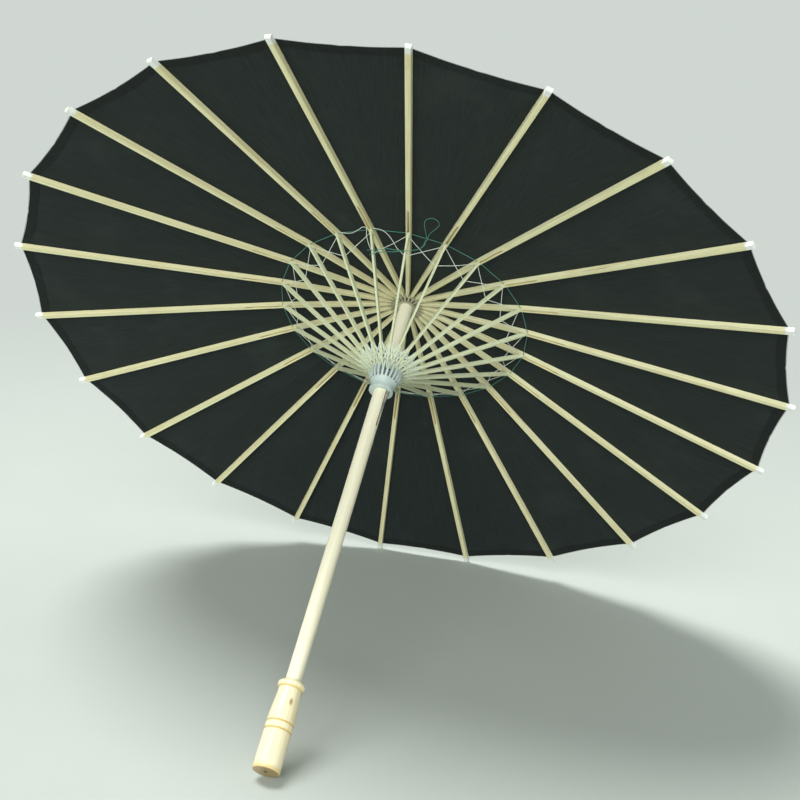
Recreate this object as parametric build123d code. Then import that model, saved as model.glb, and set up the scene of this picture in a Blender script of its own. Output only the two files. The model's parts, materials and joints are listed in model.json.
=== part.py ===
"""Folding parasol: turned handle, round pole, sliding runner, 22 ribs and 22 stretchers, cloth canopy.

Millimetres. +Z runs up the pole, and the origin is the centre of the handle's flat lower end.
The first rib points along +X. The parasol is modelled fully open.
Every rib and stretcher lies in a plane through the pole, so each is drawn once in the XZ plane
and turned about Z.
"""

from build123d import *

import math
import os

# Overall
RIB_COUNT = 22
TIP_RADIUS = 410.0
TIP_Z = 452.0

# Pole
POLE_RADIUS = 7.25
POLE_FOOT_Z = 40.0
POLE_TOP_Z = 551.0
FIXED_FIT = 0.05
SLIDING_FIT = 0.08

# Gap kept between pieces that don't touch
CLEARANCE = 0.3

# Handle
HANDLE_LENGTH = 82.0
HANDLE_GRIP_RADIUS = 12.4
HANDLE_FOOT_ROUND = 0.8
HANDLE_GROOVES_Z = (36.0, 43.0)
HANDLE_GROOVE_DEPTH = 1.1
HANDLE_BAND_RADIUS = 12.5
HANDLE_WAIST = ((12.05, 53.0), (10.9, 67.5))
HANDLE_NECK_RADIUS = 10.5
HANDLE_NECK_Z = 75.5
HANDLE_BEAD_RADIUS = 12.5
HANDLE_TOP_RADIUS = 9.6
CENTRE_HOLE_RADIUS = 1.6
CENTRE_HOLE_DEPTH = 10.0

# Hub, fixed near the top of the pole; the ribs hinge in its slots
HUB_HINGE_RADIUS = 15.0
HUB_HINGE_Z = 529.0
HUB_RADIUS = 17.3
HUB_BOTTOM_Z = 524.6
HUB_FLANGE_TOP_Z = 531.0
HUB_NECK_RADIUS = 10.6
HUB_EDGE_CHAMFER = 0.6
HUB_TOP_Z = 538.0
HUB_SLOT_WIDTH = 2.5
HUB_SLOT_FLOOR_RADIUS = 11.8
HUB_RING_WIRE_RADIUS = 0.45
RING_CHANNEL_GAP = 0.1

# Ribs
RIB_THICKNESS = 4.6
RIB_WIDTH_AT_HUB = 3.8
RIB_WIDTH_AT_TIP = 5.6
RIB_SIDE_SLOPE = 0.6
RIB_TONGUE_WIDTH = 2.0
RIB_TONGUE_THICKNESS = 4.0
RIB_BODY_START = 5.6
RIB_TIP_CHAMFER = 0.9
RIB_HUB_HOLE_RADIUS = 0.75

# Joint of each stretcher with its rib
JOINT_RADIUS = 135.7
JOINT_Z = 508.0
JOINT_BELOW_CENTRELINE = 0.8
JOINT_HOLE_RADIUS = 0.8
RIB_SLOT_WIDTH = 2.7
RIB_SLOT_INWARD = 9.0
RIB_SLOT_OUTWARD = 42.0
RIB_SLOT_ABOVE_JOINT = 1.65

# Runner, which slides on the pole and carries the stretchers' inner ends
RUNNER_HINGE_RADIUS = 12.3
RUNNER_HINGE_Z = 435.0
RUNNER_CROWN_RADIUS = 17.5
RUNNER_TOP_Z = 439.0
RUNNER_CROWN_BOTTOM_Z = 427.5
RUNNER_CROWN_CHAMFER = 0.8
RUNNER_BELL = ((15.1, 422.2), (12.7, 417.5))
RUNNER_WAIST_RADIUS = 11.2
RUNNER_FLANGE_RADIUS = 12.6
RUNNER_FLANGE_TOP_Z = 411.8
RUNNER_BOTTOM_Z = 408.5
RUNNER_FLANGE_CHAMFER = 0.5
RUNNER_SLOT_FLOOR = ((10.6, 431.0), (12.9, 429.5), (14.5, 422.0), (19.5, 419.0))
RUNNER_SLOT_INNER_WIDTH = 2.1
RUNNER_SLOT_OUTER_WIDTH = 2.8
RUNNER_RING_WIRE_RADIUS = 0.4

# Stretchers
STRETCHER_HEIGHT = 4.4
STRETCHER_WIDTH = 2.2
STRETCHER_FOOT_WIDTH = 1.6
STRETCHER_FOOT_LENGTH = 12.0
STRETCHER_FOOT_OVERHANG = 1.6
STRETCHER_FOOT_STEP = 1.0
STRETCHER_FOOT_TOP_LENGTH = 9.0
STRETCHER_BELOW_RING = 3.2
STRETCHER_BELOW_JOINT = 1.2
STRETCHER_END_RADIUS = 1.3
STRETCHER_JOINT_HOLE_RADIUS = 0.7
STRETCHER_TAPER_LENGTH = 10.0
STRETCHER_THREAD_HOLE_RADIUS = 0.5
OUTER_THREAD_HOLE = 24.0
INNER_THREAD_HOLES = (8.0, 15.0, 22.0)
INNER_THREAD_HOLE_HEIGHT = 1.25

# Cloth and threads
CANOPY_GAP = 0.3
CANOPY_THICKNESS = 0.8
CANOPY_HOLE_RADIUS = 11.2
CANOPY_EDGE_RADIUS = 404.0
CANOPY_SCALLOP = 3.0
JOINT_THREAD_RADIUS = 0.35
THREAD_RADIUS = 0.3
THREAD_FROM_STRETCHER_END = 6.0
THREAD_BESIDE_STRETCHER = 0.15
THREAD_FROM_HOLE = 0.8
EDGE_THREAD_RADIUS = 405.6
EDGE_THREAD_Z = 453.0

# Knot in the joint thread, in the gap after this many ribs past the first, and the loop and two loose ends
# that leave it. Each point is (distance out along the middle line of the gap, distance sideways, height).
KNOT_GAP = 20
KNOT_RADIUS = 0.9
LOOSE_LOOP = [
    (135.3, -0.5, 508.0),
    (142.2, -3.0, 507.9),
    (150.2, -5.2, 506.6),
    (158.4, -6.9, 504.9),
    (166.0, -5.6, 503.3),
    (170.6, -0.6, 502.4),
    (169.0, 4.6, 502.7),
    (163.2, 7.4, 503.9),
    (156.0, 6.0, 505.4),
    (148.6, 3.3, 507.0),
    (141.6, 1.0, 508.0),
    (135.3, 0.5, 508.0),
]
LONG_LOOSE_END = [
    (134.0, 0.4, 507.0),
    (135.2, -0.3, 503.6),
    (131.2, -0.9, 500.9),
    (127.6, -3.8, 499.0),
    (124.9, -8.3, 497.5),
    (122.4, -14.2, 496.4),
    (120.4, -20.8, 495.6),
    (118.8, -28.0, 495.4),
    (117.0, -35.4, 495.6),
    (113.6, -41.8, 495.0),
    (110.4, -48.0, 494.5),
    (107.5, -54.0, 494.6),
]
SHORT_LOOSE_END = [
    (134.0, -0.4, 507.0),
    (134.0, -1.2, 504.1),
    (130.2, -1.6, 501.4),
    (126.7, -4.3, 499.6),
    (124.0, -8.8, 498.1),
    (121.5, -14.6, 497.0),
    (119.3, -21.0, 495.9),
    (116.6, -28.0, 494.6),
    (114.4, -34.6, 494.0),
    (111.6, -40.6, 493.4),
    (108.2, -46.0, 492.9),
    (104.6, -50.6, 492.1),
]
THREAD_BEND_SHARE = 0.45

# Cap and finial over the hub
CAP_RADIUS = 26.0
CAP_THICKNESS = 1.0
CAP_NECK_RADIUS = 11.2
CAP_GAP = 0.2
CAP_FILLET = 1.5
CAP_CROWN_RISE = 1.2
FINIAL_BOTTOM_Z = 540.6
FINIAL_FOOT = ((10.4, 0.0), (10.8, 1.2), (10.0, 2.8), (8.9, 3.4))
FINIAL_KNOB = ((10.3, 549.6), (8.0, 559.4))
FINIAL_TOP_Z = 564.0
FINIAL_OVER_POLE = 0.4

# Catch spring and stop peg
CATCH_AZIMUTH = 25.0
CATCH_WIRE_RADIUS = 0.6
CATCH_REACH = 11.0
CATCH_SHOULDER_HEIGHT = 3.5
CATCH_FOOT_HEIGHT = 3.6
CATCH_BEND_RADIUS = 1.2
CATCH_FOOT_Z = 367.0
CATCH_ROOT_RADIUS = 4.4
CATCH_SLOT_WIDTH = 1.8
CATCH_SLOT_FLOOR_RADIUS = 3.4
CATCH_SLOT_OVER_END = 2.4
PEG_AZIMUTH = -88.0
PEG_Z = 458.0
PEG_RADIUS = 1.5
PEG_FIT = 0.02
PEG_START = 1.2
PEG_STANDS_OUT = 0.9

EXTRUDE_MARGIN = 10.0
PITCH = 360.0 / RIB_COUNT


def unit(x, z):
    """A unit vector in the XZ plane, as a pair."""
    length = math.hypot(x, z)
    return x / length, z / length


def shifted(point, direction, distance):
    return point[0] + direction[0] * distance, point[1] + direction[1] * distance


def left_of(direction):
    """The direction a quarter turn to the left of this one in the XZ plane."""
    return -direction[1], direction[0]


def plate(points, width):
    """A flat plate with this outline of (x, z) points, centred on the XZ plane."""
    outline = Polyline([Vector(x, 0, z) for x, z in points], close=True)
    return extrude(make_face(outline), amount=width / 2, dir=(0, 1, 0), both=True)


def cross_rod(point, radius, length):
    """A rod along Y, centred on the XZ plane at (x, z)."""
    return Pos(point[0], 0, point[1]) * Rot(90, 0, 0) * Cylinder(radius, length)


def turned(points):
    """A solid of revolution about Z from (radius, z) points."""
    return revolve(make_face(Polyline([Vector(r, 0, z) for r, z in points], close=True)), Axis.Z)


def rod_between(start, end, radius):
    """A round rod from one point to another."""
    start = Vector(*start)
    along = Vector(*end) - start
    return extrude(Plane(origin=start, z_dir=along) * Circle(radius), amount=along.length)


def around(radius, y, z, azimuth):
    """The point at (radius, y, z) of a radial plane turned to this azimuth."""
    turn = math.radians(azimuth)
    x_turned = radius * math.cos(turn) - y * math.sin(turn)
    y_turned = radius * math.sin(turn) + y * math.cos(turn)
    return x_turned, y_turned, z


def fused(shapes):
    return shapes[0].fuse(*shapes[1:])


# The rib's centreline runs straight from the hub hinge to a slight bend over the joint, then straight
# to the tip. The stretcher's line runs from the runner's ring to the joint.
HUB_HINGE = (HUB_HINGE_RADIUS, HUB_HINGE_Z)
JOINT = (JOINT_RADIUS, JOINT_Z)
RUNNER_RING = (RUNNER_HINGE_RADIUS, RUNNER_HINGE_Z)
RIB_UP = left_of(unit(TIP_RADIUS - HUB_HINGE_RADIUS, TIP_Z - HUB_HINGE_Z))
RIB_BEND = shifted(JOINT, RIB_UP, JOINT_BELOW_CENTRELINE)
INNER_RUN = unit(RIB_BEND[0] - HUB_HINGE[0], RIB_BEND[1] - HUB_HINGE[1])
OUTER_RUN = unit(TIP_RADIUS - RIB_BEND[0], TIP_Z - RIB_BEND[1])
STRETCHER_RUN = unit(JOINT[0] - RUNNER_RING[0], JOINT[1] - RUNNER_RING[1])
STRETCHER_LENGTH = math.dist(JOINT, RUNNER_RING)


def rib_edge(offset, start, end_inset):
    """Three points of a line that follows the rib's centreline at this height above it."""
    inner = shifted(shifted(HUB_HINGE, INNER_RUN, start), left_of(INNER_RUN), offset)
    bend = shifted(RIB_BEND, RIB_UP, offset)
    tip = shifted((TIP_RADIUS, TIP_Z), OUTER_RUN, -end_inset)
    return [inner, bend, shifted(tip, left_of(OUTER_RUN), offset)]


def side_plane(side):
    """The plane of a rib's flank. The rib widens outward, and is wider on top than underneath."""
    half = RIB_THICKNESS / 2
    lean = RIB_SIDE_SLOPE / 2
    at_hub = shifted(HUB_HINGE, RIB_UP, half)
    under_hub = shifted(HUB_HINGE, RIB_UP, -half)
    at_tip = shifted((TIP_RADIUS, TIP_Z), RIB_UP, half)
    top_hub = Vector(at_hub[0], side * (RIB_WIDTH_AT_HUB / 2 + lean), at_hub[1])
    low_hub = Vector(under_hub[0], side * (RIB_WIDTH_AT_HUB / 2 - lean), under_hub[1])
    top_tip = Vector(at_tip[0], side * (RIB_WIDTH_AT_TIP / 2 + lean), at_tip[1])
    normal = (top_tip - top_hub).cross(low_hub - top_hub)
    if normal.Y * side < 0:
        normal = -normal
    return Plane(origin=top_hub, z_dir=normal)


def make_rib():
    half = RIB_THICKNESS / 2
    top = rib_edge(half, RIB_BODY_START, RIB_TIP_CHAMFER)
    tip_upper = rib_edge(half - RIB_TIP_CHAMFER, RIB_BODY_START, 0)[2]
    tip_lower = rib_edge(RIB_TIP_CHAMFER - half, RIB_BODY_START, 0)[2]
    under = rib_edge(-half, RIB_BODY_START, RIB_TIP_CHAMFER)
    body = plate(top + [tip_upper, tip_lower] + under[::-1], RIB_WIDTH_AT_TIP + EXTRUDE_MARGIN)
    for side in (1, -1):
        body = split(body, bisect_by=side_plane(side), keep=Keep.BOTTOM)
    tongue_half = RIB_TONGUE_THICKNESS / 2
    tongue_ends = [shifted(HUB_HINGE, INNER_RUN, along) for along in (0, RIB_BODY_START + 1)]
    tongue = plate(
        [
            shifted(tongue_ends[0], left_of(INNER_RUN), tongue_half),
            shifted(tongue_ends[1], left_of(INNER_RUN), tongue_half),
            shifted(tongue_ends[1], left_of(INNER_RUN), -tongue_half),
            shifted(tongue_ends[0], left_of(INNER_RUN), -tongue_half),
        ],
        RIB_TONGUE_WIDTH,
    )
    tongue += cross_rod(HUB_HINGE, tongue_half, RIB_TONGUE_WIDTH)
    slot_top = [
        shifted(shifted(JOINT, INNER_RUN, -RIB_SLOT_INWARD), left_of(INNER_RUN), RIB_SLOT_ABOVE_JOINT),
        shifted(JOINT, RIB_UP, RIB_SLOT_ABOVE_JOINT),
        shifted(shifted(JOINT, OUTER_RUN, RIB_SLOT_OUTWARD), left_of(OUTER_RUN), -half / 2),
    ]
    slot_under = [(x, z - EXTRUDE_MARGIN) for x, z in slot_top[::-1]]
    rib = body + tongue
    rib -= plate(slot_top + slot_under, RIB_SLOT_WIDTH)
    rib -= cross_rod(HUB_HINGE, RIB_HUB_HOLE_RADIUS, EXTRUDE_MARGIN)
    rib -= cross_rod(JOINT, JOINT_HOLE_RADIUS, EXTRUDE_MARGIN)
    return rib


def stretcher_point(along, above):
    """A point of a stretcher, from the runner's ring along it and above its line."""
    return shifted(shifted(RUNNER_RING, STRETCHER_RUN, along), left_of(STRETCHER_RUN), above)


def stretcher_under(along):
    """How far the stretcher's lower edge lies above its line: always a negative height."""
    rise = (STRETCHER_BELOW_RING - STRETCHER_BELOW_JOINT) * along / STRETCHER_LENGTH
    return rise - STRETCHER_BELOW_RING


def make_stretcher():
    foot_top = RUNNER_RING_WIRE_RADIUS + CLEARANCE
    step = STRETCHER_FOOT_LENGTH
    taper = STRETCHER_LENGTH - STRETCHER_TAPER_LENGTH
    body = plate(
        [
            stretcher_point(step, stretcher_under(step)),
            stretcher_point(STRETCHER_LENGTH, -STRETCHER_BELOW_JOINT),
            stretcher_point(STRETCHER_LENGTH, STRETCHER_END_RADIUS),
            stretcher_point(taper, stretcher_under(taper) + STRETCHER_HEIGHT),
            stretcher_point(step + STRETCHER_FOOT_STEP, stretcher_under(step) + STRETCHER_HEIGHT),
            stretcher_point(step, stretcher_under(step) + STRETCHER_HEIGHT - STRETCHER_FOOT_STEP),
        ],
        STRETCHER_WIDTH,
    )
    body += cross_rod(JOINT, STRETCHER_END_RADIUS, STRETCHER_WIDTH)
    overhang = -STRETCHER_FOOT_OVERHANG
    foot_end = step + STRETCHER_FOOT_STEP
    foot = plate(
        [
            stretcher_point(overhang, stretcher_under(overhang)),
            stretcher_point(foot_end, stretcher_under(foot_end)),
            stretcher_point(foot_end, STRETCHER_FOOT_STEP),
            stretcher_point(STRETCHER_FOOT_TOP_LENGTH, -foot_top),
            stretcher_point(overhang, -foot_top),
        ],
        STRETCHER_FOOT_WIDTH,
    )
    stretcher = body + foot
    stretcher -= cross_rod(JOINT, STRETCHER_JOINT_HOLE_RADIUS, EXTRUDE_MARGIN)
    holes = [(STRETCHER_LENGTH - OUTER_THREAD_HOLE, STRETCHER_HEIGHT / 2)]
    holes += [(along, INNER_THREAD_HOLE_HEIGHT) for along in INNER_THREAD_HOLES]
    for along, above in holes:
        hole = stretcher_point(along, stretcher_under(along) + above)
        stretcher -= cross_rod(hole, STRETCHER_THREAD_HOLE_RADIUS, EXTRUDE_MARGIN)
    return stretcher


def make_pole():
    length = POLE_TOP_Z - POLE_FOOT_Z
    pole = Pos(0, 0, POLE_FOOT_Z + length / 2) * Cylinder(POLE_RADIUS, length)
    slot_bottom = CATCH_FOOT_Z - CATCH_SLOT_OVER_END
    slot_height = RUNNER_BOTTOM_Z + CATCH_SLOT_OVER_END - slot_bottom
    slot = Box(
        POLE_RADIUS,
        CATCH_SLOT_WIDTH,
        slot_height,
        align=(Align.MIN, Align.CENTER, Align.MIN),
    )
    pole -= Rot(0, 0, CATCH_AZIMUTH) * Pos(CATCH_SLOT_FLOOR_RADIUS, 0, slot_bottom) * slot
    pole -= Rot(0, 0, PEG_AZIMUTH) * peg_rod(PEG_RADIUS, 0, POLE_RADIUS + 1)
    return pole


def peg_rod(radius, start, end):
    """A rod along X at the stop peg's height, from one radius to another."""
    rod = Cylinder(radius, end - start, align=(Align.CENTER, Align.CENTER, Align.MIN))
    return Pos(start, 0, PEG_Z) * Rot(0, 90, 0) * rod


def make_handle():
    lower_groove, upper_groove = HANDLE_GROOVES_Z
    grip = HANDLE_GRIP_RADIUS
    bore = POLE_RADIUS + FIXED_FIT
    with BuildPart() as handle:
        with BuildSketch(Plane.XZ):
            with BuildLine():
                foot = Polyline(
                    (CENTRE_HOLE_RADIUS, CENTRE_HOLE_DEPTH),
                    (CENTRE_HOLE_RADIUS, 0),
                    (grip - HANDLE_FOOT_ROUND, 0),
                    (grip, HANDLE_FOOT_ROUND),
                    (grip, lower_groove - HANDLE_GROOVE_DEPTH),
                    (grip - HANDLE_GROOVE_DEPTH, lower_groove),
                    (HANDLE_BAND_RADIUS, lower_groove + HANDLE_GROOVE_DEPTH),
                    (HANDLE_BAND_RADIUS, upper_groove - HANDLE_GROOVE_DEPTH),
                    (grip - HANDLE_GROOVE_DEPTH, upper_groove),
                    (grip, upper_groove + HANDLE_GROOVE_DEPTH),
                )
                waist = Spline(foot @ 1, *HANDLE_WAIST, (HANDLE_NECK_RADIUS, HANDLE_NECK_Z))
                bead = ThreePointArc(
                    waist @ 1,
                    (HANDLE_BEAD_RADIUS, (HANDLE_NECK_Z + HANDLE_LENGTH) / 2),
                    (HANDLE_TOP_RADIUS, HANDLE_LENGTH),
                )
                Polyline(
                    bead @ 1,
                    (bore, HANDLE_LENGTH),
                    (bore, POLE_FOOT_Z - 1),
                    (0, POLE_FOOT_Z - 1),
                    (0, CENTRE_HOLE_DEPTH),
                    foot @ 0,
                )
            make_face()
        revolve(axis=Axis.Z)
    return handle.part


def make_hub():
    bore = POLE_RADIUS + FIXED_FIT
    hub = turned(
        [
            (bore, HUB_BOTTOM_Z),
            (HUB_RADIUS, HUB_BOTTOM_Z),
            (HUB_RADIUS, HUB_FLANGE_TOP_Z - HUB_EDGE_CHAMFER),
            (HUB_RADIUS - HUB_EDGE_CHAMFER, HUB_FLANGE_TOP_Z),
            (HUB_NECK_RADIUS, HUB_FLANGE_TOP_Z),
            (HUB_NECK_RADIUS, HUB_TOP_Z),
            (bore, HUB_TOP_Z),
        ]
    )
    slot_length = HUB_RADIUS - HUB_SLOT_FLOOR_RADIUS + 2
    slot = Pos(HUB_SLOT_FLOOR_RADIUS + slot_length / 2, 0, HUB_HINGE_Z) * Box(
        slot_length, HUB_SLOT_WIDTH, EXTRUDE_MARGIN
    )
    cuts = [Rot(0, 0, PITCH * turn) * slot for turn in range(RIB_COUNT)]
    channel = Torus(HUB_HINGE_RADIUS, HUB_RING_WIRE_RADIUS + RING_CHANNEL_GAP)
    return hub.cut(*cuts, Pos(0, 0, HUB_HINGE_Z) * channel)


def make_runner():
    bore = POLE_RADIUS + SLIDING_FIT
    edge = RUNNER_FLANGE_CHAMFER
    with BuildPart() as runner:
        with BuildSketch(Plane.XZ):
            with BuildLine():
                crown = Polyline(
                    (bore, RUNNER_TOP_Z),
                    (RUNNER_CROWN_RADIUS - RUNNER_CROWN_CHAMFER, RUNNER_TOP_Z),
                    (RUNNER_CROWN_RADIUS, RUNNER_TOP_Z - RUNNER_CROWN_CHAMFER),
                    (RUNNER_CROWN_RADIUS, RUNNER_CROWN_BOTTOM_Z),
                )
                bell = Spline(
                    crown @ 1,
                    *RUNNER_BELL,
                    (RUNNER_WAIST_RADIUS, RUNNER_FLANGE_TOP_Z),
                    tangents=[(-0.25, -1), (-0.1, -1)],
                )
                Polyline(
                    bell @ 1,
                    (RUNNER_FLANGE_RADIUS - edge, RUNNER_FLANGE_TOP_Z),
                    (RUNNER_FLANGE_RADIUS, RUNNER_FLANGE_TOP_Z - edge),
                    (RUNNER_FLANGE_RADIUS, RUNNER_BOTTOM_Z + edge),
                    (RUNNER_FLANGE_RADIUS - edge, RUNNER_BOTTOM_Z),
                    (bore + edge, RUNNER_BOTTOM_Z),
                    (bore, RUNNER_BOTTOM_Z + edge),
                    crown @ 0,
                )
            make_face()
        revolve(axis=Axis.Z)
    channel = Torus(RUNNER_HINGE_RADIUS, RUNNER_RING_WIRE_RADIUS + RING_CHANNEL_GAP)
    return runner.part.cut(*runner_slots(), Pos(0, 0, RUNNER_HINGE_Z) * channel)


def runner_slots():
    """Radial slots, wider outward, whose floors slope down and out so that the stretchers swing clear."""
    inner = RUNNER_SLOT_FLOOR[0][0]
    outer = RUNNER_SLOT_FLOOR[-1][0]
    above = RUNNER_TOP_Z + 1
    side_view = plate([(inner, above), *RUNNER_SLOT_FLOOR, (outer, above)], EXTRUDE_MARGIN)
    plan = make_face(
        Polyline(
            [
                (inner, RUNNER_SLOT_INNER_WIDTH / 2),
                (outer, RUNNER_SLOT_OUTER_WIDTH / 2),
                (outer, -RUNNER_SLOT_OUTER_WIDTH / 2),
                (inner, -RUNNER_SLOT_INNER_WIDTH / 2),
            ],
            close=True,
        )
    )
    slot = side_view & extrude(Pos(0, 0, RUNNER_BOTTOM_Z) * plan, amount=4 * EXTRUDE_MARGIN)
    return [Rot(0, 0, PITCH * turn) * slot for turn in range(RIB_COUNT)]


def rib_top(radius):
    """Height of the ribs' upper faces at this radius."""
    half = RIB_THICKNESS / 2
    inner, bend, tip = rib_edge(half, 0, 0)
    low, high = (inner, bend) if radius < bend[0] else (bend, tip)
    return low[1] + (high[1] - low[1]) * (radius - low[0]) / (high[0] - low[0])


def scalloped_outline():
    """The cloth's edge in plan: one shallow hollow arc from each rib to the next."""
    arcs = []
    middle_radius = CANOPY_EDGE_RADIUS * math.cos(math.radians(PITCH / 2)) - CANOPY_SCALLOP
    for turn in range(RIB_COUNT):
        start = around(CANOPY_EDGE_RADIUS, 0, 0, PITCH * turn)
        middle = around(middle_radius, 0, 0, PITCH * (turn + 0.5))
        end = around(CANOPY_EDGE_RADIUS, 0, 0, PITCH * (turn + 1))
        arcs.append(ThreePointArc(start, middle, end))
    return make_face(arcs)


def make_canopy():
    bend_radius = rib_edge(RIB_THICKNESS / 2, 0, 0)[1][0]
    radii = (CANOPY_HOLE_RADIUS, bend_radius, CANOPY_EDGE_RADIUS + 1)
    inner = [(radius, rib_top(radius) + CANOPY_GAP) for radius in radii]
    outer = [(radius, z + CANOPY_THICKNESS) for radius, z in inner]
    cone = turned(inner + outer[::-1])
    prism = extrude(Pos(0, 0, TIP_Z - EXTRUDE_MARGIN) * scalloped_outline(), amount=CANOPY_EDGE_RADIUS)
    return cone & prism


def make_cap():
    """Round cloth cap over the canopy's hole, with a raised middle that fits over the hub's neck."""
    bore = POLE_RADIUS + FIXED_FIT
    shoulder = CAP_NECK_RADIUS + CAP_THICKNESS
    foot = shoulder + CAP_FILLET
    roof_z = HUB_TOP_Z + CAP_GAP
    return turned(
        [
            (CAP_RADIUS, over_cloth(CAP_RADIUS)),
            (CAP_RADIUS, over_cloth(CAP_RADIUS) + CAP_THICKNESS),
            (foot, over_cloth(foot) + CAP_THICKNESS),
            (shoulder, HUB_TOP_Z + CAP_THICKNESS),
            (shoulder - CAP_CROWN_RISE, roof_z + CAP_THICKNESS + CAP_CROWN_RISE * 3 / 4),
            (bore, roof_z + CAP_THICKNESS + CAP_CROWN_RISE),
            (bore, roof_z),
            (CAP_NECK_RADIUS, roof_z),
            (CAP_NECK_RADIUS, over_cloth(CAP_NECK_RADIUS)),
        ]
    )


def over_cloth(radius):
    """Height of the cap's underside over the canopy at this radius."""
    return rib_top(radius) + CANOPY_GAP + CANOPY_THICKNESS + CAP_GAP


def make_finial():
    bore = POLE_RADIUS + FIXED_FIT
    bore_top = POLE_TOP_Z + FINIAL_OVER_POLE
    with BuildPart() as finial:
        with BuildSketch(Plane.XZ):
            with BuildLine():
                foot = Polyline(
                    (bore, FINIAL_BOTTOM_Z), *[(r, FINIAL_BOTTOM_Z + rise) for r, rise in FINIAL_FOOT]
                )
                knob = Spline(foot @ 1, *FINIAL_KNOB, (0, FINIAL_TOP_Z), tangents=[(0.4, 1), (-1, 0)])
                Polyline(knob @ 1, (0, bore_top), (bore, bore_top), foot @ 0)
            make_face()
        revolve(axis=Axis.Z)
    return finial.part


def make_catch_spring():
    """Bent wire let into the pole. Its shoulder holds the runner up, and it is pressed in to let it pass."""
    foot_z = CATCH_FOOT_Z - CATCH_WIRE_RADIUS
    shoulder_z = RUNNER_BOTTOM_Z - CATCH_WIRE_RADIUS - CLEARANCE
    path = FilletPolyline(
        [
            Vector(CATCH_ROOT_RADIUS, 0, foot_z),
            Vector(CATCH_ROOT_RADIUS, 0, foot_z + CATCH_FOOT_HEIGHT),
            Vector(CATCH_REACH, 0, shoulder_z - CATCH_SHOULDER_HEIGHT),
            Vector(CATCH_REACH, 0, shoulder_z),
            Vector(CATCH_ROOT_RADIUS, 0, shoulder_z),
        ],
        radius=CATCH_BEND_RADIUS,
    )
    return Rot(0, 0, CATCH_AZIMUTH) * tube_along(path, CATCH_WIRE_RADIUS)


def tube_along(path, radius):
    return sweep(Plane(origin=path @ 0, z_dir=path % 0) * Circle(radius), path=path)


def make_stop_peg():
    """Short dowel across the pole that keeps the runner from going too high."""
    return Rot(0, 0, PEG_AZIMUTH) * peg_rod(PEG_RADIUS - PEG_FIT, PEG_START, POLE_RADIUS + PEG_STANDS_OUT)


def make_joint_thread():
    """One closed thread through every rib and stretcher end, with its knot: the stretchers hinge on it."""
    pieces = []
    for turn in range(RIB_COUNT):
        start = around(JOINT_RADIUS, 0, JOINT_Z, PITCH * turn)
        end = around(JOINT_RADIUS, 0, JOINT_Z, PITCH * (turn + 1))
        pieces.append(rod_between(start, end, JOINT_THREAD_RADIUS))
        pieces.append(Pos(*start) * Sphere(JOINT_THREAD_RADIUS))
    knot_out = JOINT_RADIUS * math.cos(math.radians(PITCH / 2))
    pieces.append(Pos(*in_knot_gap((knot_out, 0, JOINT_Z))) * Sphere(KNOT_RADIUS))
    return fused(pieces)


def in_knot_gap(point):
    """A point given from the middle line of the gap that holds the knot."""
    return around(*point, (KNOT_GAP + 0.5) * PITCH)


def loose_tube(points):
    """A thread through these points, with every bend as wide as its two runs allow."""
    route = [Vector(*in_knot_gap(point)) for point in points]
    radii = []
    for before, corner, after in zip(route, route[1:], route[2:]):
        into = corner - before
        out = after - corner
        half_turn = math.radians(into.get_angle(out) / 2)
        radii.append(THREAD_BEND_SHARE * min(into.length, out.length) / math.tan(half_turn))
    path = FilletPolyline(route, radius=radii)
    tube = tube_along(path, JOINT_THREAD_RADIUS)
    straight_volume = math.pi * JOINT_THREAD_RADIUS**2 * path.length
    print(f"loose thread: length {path.length:.1f}, smallest bend {min(radii):.1f}")
    print(f"  volume over section times length {tube.volume / straight_volume:.3f}")
    return tube


def make_loose_thread():
    """What is left of the joint thread after its knot: a loop and two loose ends."""
    return Compound([loose_tube(points) for points in (LOOSE_LOOP, LONG_LOOSE_END, SHORT_LOOSE_END)])


def thread_cross(near, far, above):
    """Two threads that cross between neighbouring stretchers, one end near the pole and one far."""
    clear = STRETCHER_WIDTH / 2 + THREAD_RADIUS + THREAD_BESIDE_STRETCHER
    near_x, near_z = stretcher_point(near, stretcher_under(near) + above)
    far_x, far_z = stretcher_point(far, stretcher_under(far) + above)
    rising = rod_between(
        around(near_x, clear, near_z, 0), around(far_x, -clear, far_z, PITCH), THREAD_RADIUS
    )
    falling = rod_between(
        around(far_x, clear, far_z, 0), around(near_x, -clear, near_z, PITCH), THREAD_RADIUS
    )
    return rising + falling


def ring_of(*shapes):
    """Copies of these shapes at every rib, as a group of separate solids."""
    solids = [solid for shape in shapes for solid in shape.solids()]
    return Compound([Rot(0, 0, PITCH * turn) * solid for turn in range(RIB_COUNT) for solid in solids])


def make_outer_thread():
    near = STRETCHER_LENGTH - OUTER_THREAD_HOLE
    far = STRETCHER_LENGTH - THREAD_FROM_STRETCHER_END
    return ring_of(thread_cross(near, far, STRETCHER_HEIGHT / 2))


def make_inner_thread():
    crosses = [
        thread_cross(near + THREAD_FROM_HOLE, far - THREAD_FROM_HOLE, INNER_THREAD_HOLE_HEIGHT)
        for near, far in zip(INNER_THREAD_HOLES, INNER_THREAD_HOLES[1:])
    ]
    return ring_of(*crosses)


def make_edge_thread():
    """Thread along the cloth's edge, from the side of each rib to the side of the next."""
    clear = RIB_WIDTH_AT_TIP / 2 + RIB_SIDE_SLOPE + THREAD_RADIUS
    start = around(EDGE_THREAD_RADIUS, clear, EDGE_THREAD_Z, 0)
    end = around(EDGE_THREAD_RADIUS, -clear, EDGE_THREAD_Z, PITCH)
    return ring_of(rod_between(start, end, THREAD_RADIUS))


def tie_ring(radius, z, wire_radius):
    """A closed ring of wire on which the ribs or the stretchers are threaded."""
    return Pos(0, 0, z) * Torus(radius, wire_radius)


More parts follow.
